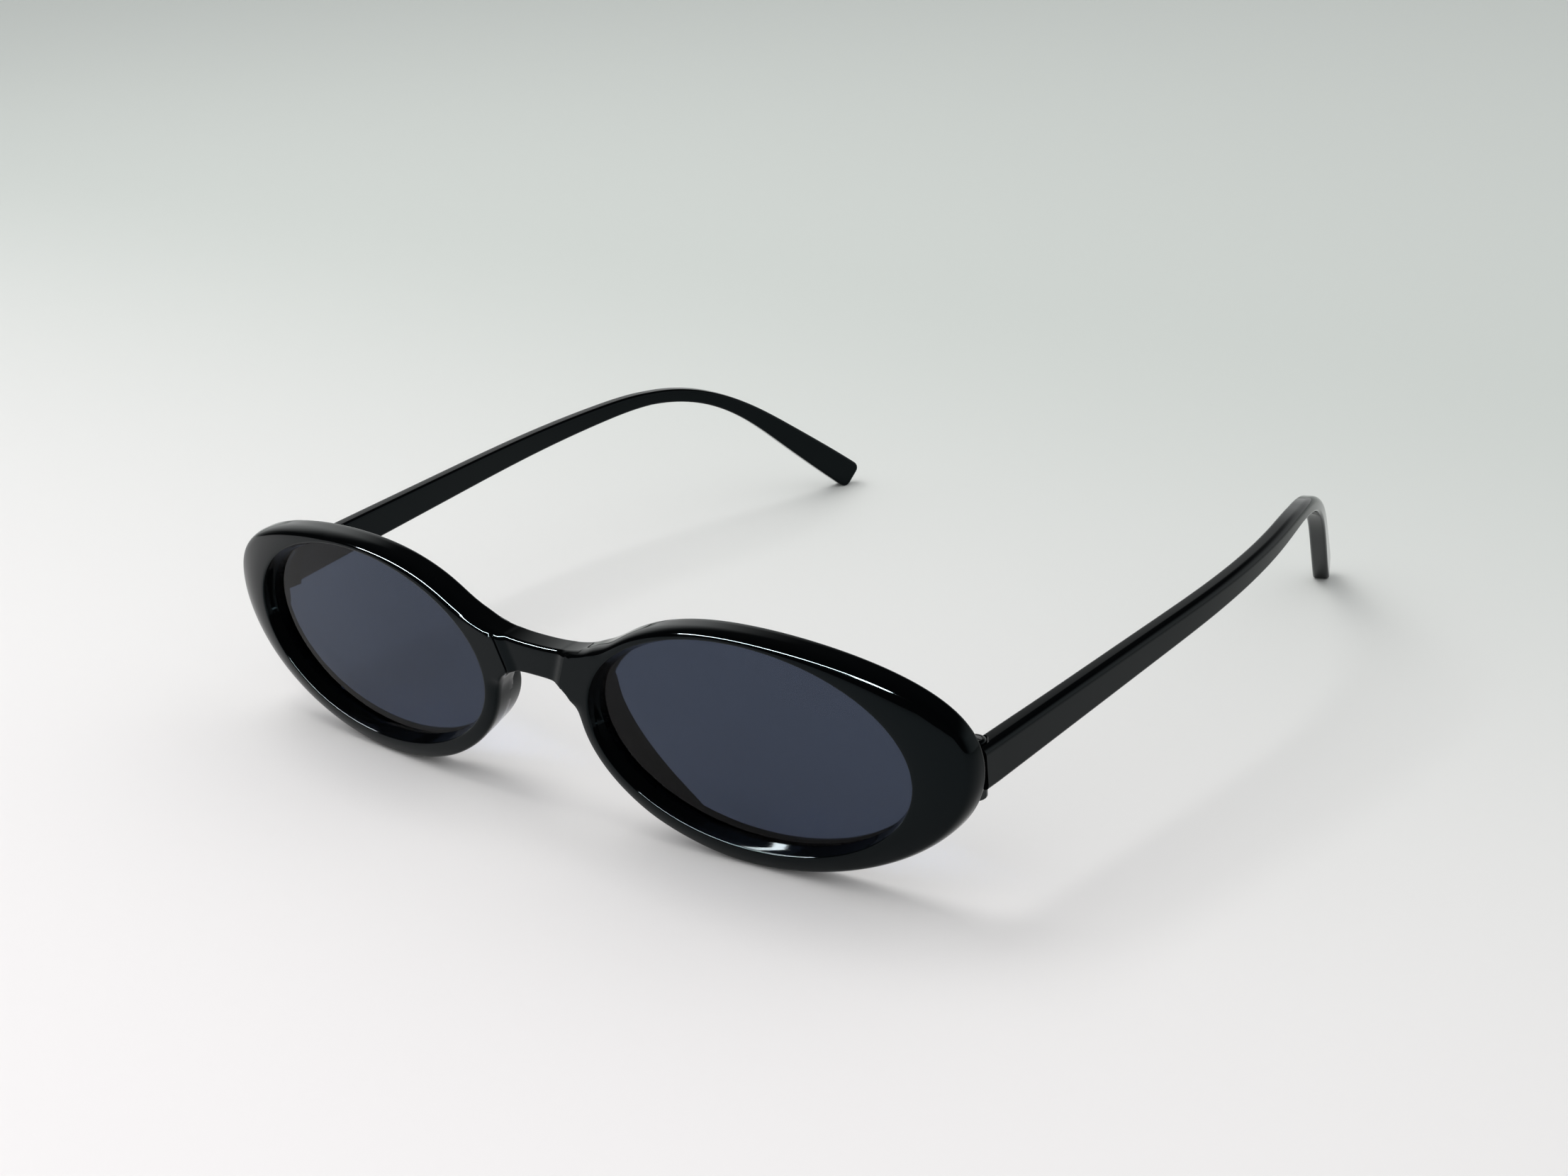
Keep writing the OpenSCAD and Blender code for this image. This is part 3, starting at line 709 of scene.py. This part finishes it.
def combine(piece, other, operation="UNION"):
    pick(piece)
    bpy.ops.object.modifier_add(type="BOOLEAN")
    modifier = piece.modifiers[-1]
    modifier.operation, modifier.solver, modifier.object = operation, "EXACT", other
    bpy.ops.object.modifier_apply(modifier=modifier.name)
    bpy.data.objects.remove(other)
    return piece


def drum(radius, low, high, x, y, steps=64):
    """An upright cylinder between two heights"""
    clear_selection()
    bpy.ops.mesh.primitive_cylinder_add(vertices=steps, radius=radius, depth=high - low,
        location=(x, y, (low + high) / 2))
    return settle(bpy.context.object)


def block(low, high):
    clear_selection()
    low, high = Vector(low), Vector(high)
    bpy.ops.mesh.primitive_cube_add(size=1, location=(low + high) / 2, scale=high - low)
    return settle(bpy.context.object)


def soften_end(piece, height, width, segments=5):
    """Bevels the edges of an upright piece that lie at a height"""
    pick(piece)
    bpy.ops.object.mode_set(mode="EDIT")
    bpy.ops.mesh.select_all(action="DESELECT")
    mesh = bmesh.from_edit_mesh(piece.data)
    for edge in mesh.edges:
        edge.select_set(all(abs(v.co.z - height) < WELD for v in edge.verts))
    bmesh.update_edit_mesh(piece.data)
    bpy.ops.mesh.bevel(offset=width, segments=segments, affect="EDGES")
    bpy.ops.object.mode_set(mode="OBJECT")
    return piece


def mirrored(piece, name):
    """A copy of the piece on the other side, with its own mesh"""
    pick(piece)
    bpy.ops.object.duplicate()
    other = bpy.context.object
    other.name = name
    other.data.name = name
    bpy.ops.transform.mirror(orient_type="GLOBAL", constraint_axis=(True, False, False))
    settle(other)
    turn_outwards(other)
    return other


def turn_outwards(piece):
    pick(piece)
    bpy.ops.object.mode_set(mode="EDIT")
    bpy.ops.mesh.select_all(action="SELECT")
    bpy.ops.mesh.normals_make_consistent(inside=False)
    bpy.ops.object.mode_set(mode="OBJECT")


def shade(piece, angle=32):
    """Smooth shading with crisp edges, weighted towards the larger faces"""
    pick(piece)
    bpy.ops.object.shade_smooth_by_angle(angle=math.radians(angle))
    bpy.ops.object.modifier_add(type="WEIGHTED_NORMAL")
    modifier = piece.modifiers[-1]
    modifier.keep_sharp = True
    bpy.ops.object.modifier_apply(modifier=modifier.name)


# Materials

class NodeTree:
    """The nodes of a material or of the room"""

    def __init__(self, owner):
        owner.use_nodes = True
        self.owner = owner
        self.nodes, self.links = owner.node_tree.nodes, owner.node_tree.links

    def feed(self, socket, value):
        """Links another node's output to an input, or gives the input a value"""
        if isinstance(value, bpy.types.NodeSocket):
            self.links.new(value, socket)
        else:
            socket.default_value = value

    def add(self, kind, inputs):
        node = self.nodes.new(kind)
        for name, value in inputs.items():
            self.feed(node.inputs[name], value)
        return node

    def coordinates(self, kind):
        return self.nodes.new("ShaderNodeTexCoord").outputs[kind]

    def axes(self, kind):
        """The coordinates' separate X, Y and Z"""
        return self.add("ShaderNodeSeparateXYZ", {"Vector": self.coordinates(kind)}).outputs

    def ranged(self, value, start, end, low=0, high=1, curve="SMOOTHSTEP"):
        """A value brought from one range into another"""
        node = self.add("ShaderNodeMapRange", {"Value": value, "From Min": start,
            "From Max": end, "To Min": low, "To Max": high})
        node.interpolation_type = curve
        return node.outputs["Result"]

    def tones(self, factor, first, second):
        node = self.add("ShaderNodeValToRGB", {"Fac": factor})
        node.color_ramp.elements[0].color = first
        node.color_ramp.elements[1].color = second
        return node.outputs["Color"]

    def maths(self, operation, first, second):
        node = self.add("ShaderNodeMath", {0: first, 1: second})
        node.operation = operation
        return node.outputs["Value"]

    def background(self, colour, strength):
        return self.add("ShaderNodeBackground", {"Color": colour, "Strength": strength}).outputs[0]

    def mixed(self, factor, first, second):
        return self.add("ShaderNodeMixShader", {"Fac": factor, 1: first, 2: second}).outputs[0]


class Finish(NodeTree):
    """A material with the settings and textures of its shader"""

    def __init__(self, name):
        super().__init__(bpy.data.materials.new(name))
        self.shader = self.nodes["Principled BSDF"]

    def set(self, name, value):
        self.feed(self.shader.inputs[name], value)

    def noise(self, scale, detail, low=0, high=1):
        """Noise on the object's own coordinates, spread between two values"""
        grain = self.add("ShaderNodeTexNoise", {"Vector": self.coordinates("Object"),
            "Scale": scale, "Detail": detail})
        return self.ranged(grain.outputs["Fac"], start=0.3, end=0.7, low=low, high=high,
            curve="LINEAR")

    def mottle(self, colour, dark, pale, scale, detail):
        """Base colour that wanders between a darker and a paler tone"""
        first, second = ((*(c * tone for c in colour[:3]), 1) for tone in (dark, pale))
        self.set("Base Color", self.tones(self.noise(scale, detail), first, second))

    def bump(self, scale, detail, strength, distance):
        node = self.add("ShaderNodeBump", {"Strength": strength, "Distance": distance,
            "Height": self.noise(scale, detail)})
        self.set("Normal", node.outputs["Normal"])


def gloss_plastic(colours):
    """Polished black moulding: faint flow waves, fine wipe marks and slightly uneven gloss"""
    finish = Finish("gloss_black_plastic")
    rough = colours.plastic_gloss
    finish.set("Specular IOR Level", 0.11)
    finish.set("Specular Tint", (0.72, 0.93, 1, 1))
    finish.set("Roughness", finish.noise(scale=420, detail=4, low=0.6 * rough, high=1.5 * rough))
    finish.mottle(colours.plastic, dark=0.8, pale=1.3, scale=60, detail=3)
    finish.bump(scale=140, detail=2, strength=0.04, distance=0.00004)
    return finish.owner


def lens_tint(colours):
    """Smoke tint that is see-through and faintly uneven, under a thin reflecting coat"""
    finish = Finish("smoke_lens")
    finish.set("Transmission Weight", 1.0)
    finish.set("IOR", 1.01)
    finish.set("Roughness", 0.0)
    finish.set("Coat Weight", 1.0)
    finish.set("Coat IOR", 1.18)
    finish.set("Coat Roughness", finish.noise(scale=30, detail=1, high=0.02))
    finish.mottle(colours.lens, dark=0.94, pale=1.06, scale=25, detail=2)
    finish.bump(scale=50, detail=1, strength=0.02, distance=0.00002)
    return finish.owner


def screw_steel(colours):
    """Blackened steel with turning marks"""
    finish = Finish("blackened_steel")
    finish.set("Metallic", 1.0)
    finish.set("Roughness", finish.noise(scale=2500, detail=4, low=0.22, high=0.45))
    finish.mottle(colours.steel, dark=0.7, pale=1.4, scale=1500, detail=3)
    finish.bump(scale=3000, detail=3, strength=0.2, distance=0.00002)
    return finish.owner


def shared_material(name, make):
    return bpy.data.materials.get(name) or make(bpy.context.scene.glasses_finish)


def finish_with(piece, material):
    piece.data.materials.clear()
    piece.data.materials.append(material)
    for polygon in piece.data.polygons:
        polygon.material_index = 0


# Pieces

class GLASSES_OT_front(bpy.types.Operator):
    """Builds the moulded front: two rims, the bridge, the nose pads and the hinge lugs"""

    bl_idname = "glasses.make_front"
    bl_label = "Make the front"

    def execute(self, context):
        scene = context.scene
        layout = Layout(scene)
        front = skin("front", rim_loops(layout, scene), closed=True)
        pad = skin("nose_pad", pad_rows(layout, scene), closed=False)
        combine(front, pad)
        combine(front, self.lugs(layout, scene))
        left = mirrored(front, "front_left")
        combine(front, skin("bridge", bridge_rows(layout, scene), closed=False))
        combine(front, left)
        shade(front)
        finish_with(front, shared_material("gloss_black_plastic", gloss_plastic))
        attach(front, "front")
        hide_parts("front_frame")
        return {"FINISHED"}

    def lugs(self, layout, scene):
        """The right hinge's two knuckles on the front, with their webs and screw holes"""
        hinge = scene.glasses_hinge
        x, y, z, radius = layout.axis_x, layout.axis_y, layout.hinge_z, hinge.knuckle_radius
        gap, top = hinge.knuckle_height / 2 + hinge.knuckle_gap, layout.hinge_half
        web = radius + hinge.clearance + 0.9 * MILLIMETRE
        lugs = []
        for side in (1, -1):
            near, far = z + side * gap, z + side * top
            low, high = sorted((near, far))
            lug = soften_end(drum(radius, low, high, x, y), far, hinge.lug_round)
            low, high = sorted((near, far - side * hinge.lug_round))
            combine(lug, block((x - radius, y - web, low), (x + radius, y, high)))
            bore = drum(hinge.bore_radius, z - 2 * top, z + 2 * top, x, y, steps=32)
            lugs.append(combine(lug, bore, "DIFFERENCE"))
        upper, lower = lugs
        head = z + top - hinge.counterbore_depth
        hole = drum(hinge.counterbore_radius, head, head + MILLIMETRE, x, y, steps=40)
        combine(upper, hole, "DIFFERENCE")
        return combine(upper, lower)


class GLASSES_OT_lenses(bpy.types.Operator):
    """Builds the two lenses, bent to the front's curve"""

    bl_idname = "glasses.make_lenses"
    bl_label = "Make the lenses"

    def execute(self, context):
        scene = context.scene
        layout = Layout(scene)
        right = skin("right_lens_shell", self.loops(layout, scene), closed=False)
        left = mirrored(right, "left_lens_shell")
        for piece, node in ((right, "right_lens"), (left, "left_lens")):
            shade(piece, angle=40)
            finish_with(piece, shared_material("smoke_lens", lens_tint))
            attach(piece, "front")
            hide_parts(node)
        return {"FINISHED"}

    def loops(self, layout, scene):
        """Loops from the middle of the front face round the edge to the middle of the back face"""
        front, lens = scene.glasses_front, scene.glasses_lens
        angle = np.arange(LENS_STEPS) * math.tau / LENS_STEPS
        edge = opening(front, angle, front.groove_depth - front.opening_draft - lens.clearance)
        centre, bevel = lens_centre(front), 0.15 * MILLIMETRE
        near, far = lens.setback, lens.setback + lens.thickness
        out = (edge - centre) / np.linalg.norm(edge - centre, axis=1)[:, None]
        rings = [between(centre, edge - bevel * out, k) for k in np.linspace(0.04, 1, 20)]
        loops = [(ring, near) for ring in rings]
        loops += [(edge, near + bevel), (edge, far - bevel)]
        loops += [(ring, far) for ring in rings[::-1]]
        return [layout.on_face(p[:, 0], d, p[:, 1]) for p, d in loops]


class Course:
    """Run of the right temple from its hinge to its tip"""

    # Length between sections, power of the taper to the neck, and length of the thicker start
    STEP, TAPER, THICK_START = 0.00125, 0.85, 0.020

    def __init__(self, layout, scene):
        self.layout, self.temple = layout, scene.glasses_temple
        self.rise = math.radians(4)
        rounds = 6
        for _ in range(rounds):
            self.rise -= min(row[:, 2].min() for row in self.rows()) / self.temple.length

    def heading(self, s):
        t = self.temple
        return between(-t.splay, t.curl, smooth(t.curl_from, t.curl_to, s))

    def pitch(self, s):
        t = self.temple
        return between(-self.rise, t.ear_slope, smooth(t.ear_from, t.ear_to, s))

    def height(self, s):
        t = self.temple
        if s < t.neck_to:
            return between(t.neck_height, t.height, (1 - min(1, s / t.neck_from)) ** self.TAPER)
        return between(t.neck_height, t.tip_height, smooth(t.neck_to, t.length, s))

    def thickness(self, s):
        share = smooth(0, self.THICK_START, s)
        return between(self.temple.end_thickness, self.temple.thickness, share)

    def along(self, s):
        h, p = self.heading(s), self.pitch(s)
        return np.array([-math.sin(h) * math.cos(p), math.cos(h) * math.cos(p), -math.sin(p)])

    def closing(self, s, radius):
        """How far a rounding of the tip has drawn a face in at a length along the temple"""
        left = self.temple.length - s
        if left >= radius:
            return 0
        return radius - math.sqrt(max(0, radius ** 2 - (radius - left) ** 2))

    def section(self, s, point):
        """Points round the temple at a length along it, from the outer face's lower edge"""
        soft, flat = self.temple.soft_round, 0.02 * MILLIMETRE
        h = self.height(s) / 2 - self.closing(s, self.temple.tip_round)
        near = self.closing(s, soft)
        far = self.thickness(s) - near
        bold = min(self.temple.edge_round, far - near - soft - flat, 2 * h - soft - flat)
        corners = [(near + soft, soft - h, soft, -180, 5), (far - soft, soft - h, soft, -90, 5),
            (far - soft, h - soft, soft, 0, 5), (near + bold, h - bold, bold, 90, 10)]
        outline = []
        for x, y, radius, start, count in corners:
            for q in np.radians(np.linspace(start, start + 90, count)):
                outline.append((x + radius * math.cos(q), y + radius * math.sin(q)))
        across, up = np.array(outline).T
        heading = self.heading(s)
        inward = np.array([-math.cos(heading), -math.sin(heading), 0.0])
        lift = np.cross(self.along(s), inward)
        return point + across[:, None] * inward + up[:, None] * lift

    def first_row(self, point):
        """The section at the hinge, slid along so that it follows the back of the front"""
        layout, x = self.layout, self.layout.temple_x
        row = self.section(0, point)
        slope = x / math.sqrt(layout.front.wrap_radius ** 2 - x ** 2)
        row[:, 1] = (layout.back_y(x, row[:, 2]) + self.temple.end_gap
            + slope / math.cos(layout.front.lean) * (row[:, 0] - x))
        return row

    def rows(self):
        t, layout = self.temple, self.layout
        turns = np.radians(np.linspace(0, 90, 9))
        tail = [t.length - t.tip_round * (1 - math.sin(q)) for q in turns]
        point = np.array([layout.temple_x, layout.axis_y, layout.temple_z])
        rows, s = [self.first_row(point)], 0.0
        while s + self.STEP < tail[0] - self.STEP / 2:
            point = point + self.STEP * self.along(s + self.STEP / 2)
            s += self.STEP
            rows.append(self.section(s, point))
        for end in tail:
            point = point + (end - s) * self.along((s + end) / 2)
            s = end
            rows.append(self.section(s, point))
        return rows


class GLASSES_OT_temples(bpy.types.Operator):
    """Builds the two temples with their hinge knuckles"""

    bl_idname = "glasses.make_temples"
    bl_label = "Make the temples"

    def execute(self, context):
        scene = context.scene
        layout = Layout(scene)
        right = skin("right_arm_moulding", Course(layout, scene).rows(), closed=False)
        hinge, temple = scene.glasses_hinge, scene.glasses_temple
        x, y, z, radius = layout.axis_x, layout.axis_y, layout.hinge_z, hinge.knuckle_radius
        room, deep = radius + hinge.clearance, 2 * temple.end_thickness
        half, tall = hinge.knuckle_height / 2, 2 * layout.hinge_half
        root = y + room + 1.3 * MILLIMETRE
        combine(right, drum(room, z - tall, z + tall, x, y, steps=96), "DIFFERENCE")
        combine(right, block((x - deep, y - deep, z - tall), (x + room, y, z + tall)), "DIFFERENCE")
        knuckle = drum(radius, z - half, z + half, x, y)
        combine(knuckle, block((x - radius, y, z - half), (x + radius, root, z + half)))
        combine(right, knuckle)
        combine(right, drum(hinge.bore_radius, z - tall, z + tall, x, y, steps=32), "DIFFERENCE")
        left = mirrored(right, "left_arm_moulding")
        for piece, side in ((right, "right"), (left, "left")):
            shade(piece)
            finish_with(piece, shared_material("gloss_black_plastic", gloss_plastic))
            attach(piece, side + "_arm")
            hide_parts(side + "_temple")
        return {"FINISHED"}


class GLASSES_OT_screws(bpy.types.Operator):
    """Gives the two hinge screws their blackened steel"""

    bl_idname = "glasses.finish_screws"
    bl_label = "Finish the screws"

    def execute(self, context):
        steel = shared_material("blackened_steel", screw_steel)
        for name in ("right_hinge_screw", "left_hinge_screw"):
            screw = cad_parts[name]
            if not screw.material_slots:
                raise RuntimeError(name + " has no material slot")
            for slot in screw.material_slots:
                slot.material = steel
        return {"FINISHED"}


# Stage

class GLASSES_OT_studio(bpy.types.Operator):
    """Sets the pale floor, the soft lights, the room and the camera"""

    bl_idname = "glasses.set_studio"
    bl_label = "Set the studio"

    def execute(self, context):
        scene = context.scene
        studio = scene.glasses_studio
        self.floor(studio)
        self.lights(studio)
        self.room(scene, studio)
        self.camera(scene, studio)
        scene.view_settings.view_transform = "Standard"
        return {"FINISHED"}

    def floor(self, studio):
        clear_selection()
        bpy.ops.mesh.primitive_plane_add(size=studio.floor_size)
        floor = bpy.context.object
        floor.name = "floor"
        finish = Finish("pale_floor")
        finish.set("Roughness", 0.6)
        finish.set("Specular IOR Level", 0.1)
        # Painted shade: the floor's base colour darkens along Y towards the back, where less light
        # reaches.
        behind = finish.ranged(finish.axes("Object")["Y"], studio.floor_shade_from, studio.floor_shade_to)
        finish.set("Base Color", finish.tones(behind, studio.floor_near, studio.floor_far_shaded))
        finish_with(floor, finish.owner)

    def lights(self, studio):
        key = self.lamp("key_light", studio.key_power, studio.key_size, studio.key_size,
            studio.key_place)
        aim = Vector(studio.key_aim) - Vector(studio.key_place)
        key.rotation_euler = aim.to_track_quat("-Z", "Y").to_euler()
        key.visible_glossy = False
        strip = self.lamp("strip_light", studio.strip_power, studio.strip_length,
            studio.strip_width, studio.strip_place)
        strip.rotation_euler.z = studio.strip_turn
        strip.visible_diffuse = False

    def lamp(self, name, power, width, height, location):
        clear_selection()
        bpy.ops.object.light_add(type="AREA", location=location)
        lamp = bpy.context.object
        lamp.name = name
        lamp.data.energy = power
        lamp.data.shape = "RECTANGLE"
        lamp.data.size, lamp.data.size_y = width, height
        return lamp

    def room(self, scene, studio):
        """Even light; what the gloss shows is pale behind the object and dark in front and above"""
        scene.world = bpy.data.worlds.new("room")
        tree = NodeTree(scene.world)
        tree.nodes.clear()
        direction = tree.axes("Generated")
        behind = tree.ranged(direction["Y"], start=-0.1, end=0.5, low=0.02)
        above = tree.ranged(direction["Z"], start=0.3, end=0.62, low=1, high=0.03)
        even = tree.background(studio.sky_colour, studio.sky)
        gloss = tree.background(studio.gloss_colour, tree.maths("MULTIPLY", behind, above))
        plain = tree.background(studio.backdrop_colour, studio.backdrop)
        ray = tree.nodes.new("ShaderNodeLightPath").outputs
        clear = tree.maths("MAXIMUM", ray["Is Camera Ray"], ray["Is Transmission Ray"])
        light = tree.mixed(clear, tree.mixed(ray["Is Glossy Ray"], even, gloss), plain)
        tree.add("ShaderNodeOutputWorld", {"Surface": light})

    def camera(self, scene, studio):
        turn, rise, roll = studio.camera_turn, studio.camera_rise, studio.camera_roll
        level = Vector((math.sin(turn), -math.cos(turn), 0))
        back = level * math.cos(rise) + Vector((0, 0, math.sin(rise)))
        right = Vector((math.cos(turn), math.sin(turn), 0))
        up = back.cross(right)
        right, up = (math.cos(roll) * right + math.sin(roll) * up,
            math.cos(roll) * up - math.sin(roll) * right)
        clear_selection()
        bpy.ops.object.camera_add(location=studio.camera_place)
        camera = bpy.context.object
        camera.rotation_euler = Matrix((right, up, back)).transposed().to_euler()
        camera.data.sensor_width = studio.sensor_width
        camera.data.lens = studio.lens_length
        camera.data.clip_start = studio.clip_start
        scene.camera = camera


class GLASSES_PT_panel(bpy.types.Panel):
    """Lists the steps that build the sunglasses"""

    bl_idname = "GLASSES_PT_panel"
    bl_label = "Sunglasses"
    bl_space_type = "VIEW_3D"
    bl_region_type = "UI"
    bl_category = "Sunglasses"

    def draw(self, context):
        for step in STEPS:
            self.layout.operator(step.bl_idname)
        for name in GROUPS:
            box = self.layout.box()
            group = getattr(context.scene, name)
            for key in group.__annotations__:
                box.prop(group, key)


STEPS = (GLASSES_OT_front, GLASSES_OT_lenses, GLASSES_OT_temples, GLASSES_OT_screws,
    GLASSES_OT_studio)
GROUPS = {"glasses_front": FrontSizes, "glasses_lens": LensSizes, "glasses_hinge": HingeSizes,
    "glasses_temple": TempleSizes, "glasses_finish": Finishes, "glasses_studio": StudioSettings}


def register():
    for item in (*GROUPS.values(), *STEPS, GLASSES_PT_panel):
        bpy.utils.register_class(item)
    for name, group in GROUPS.items():
        setattr(bpy.types.Scene, name, PointerProperty(type=group))


def unregister():
    for name in GROUPS:
        delattr(bpy.types.Scene, name)
    for item in reversed((*GROUPS.values(), *STEPS, GLASSES_PT_panel)):
        bpy.utils.unregister_class(item)


def main():
    register()
    bpy.ops.glasses.make_front()
    bpy.ops.glasses.make_lenses()
    bpy.ops.glasses.make_temples()
    bpy.ops.glasses.finish_screws()
    bpy.ops.glasses.set_studio()


if __name__ == "__main__":
    main()
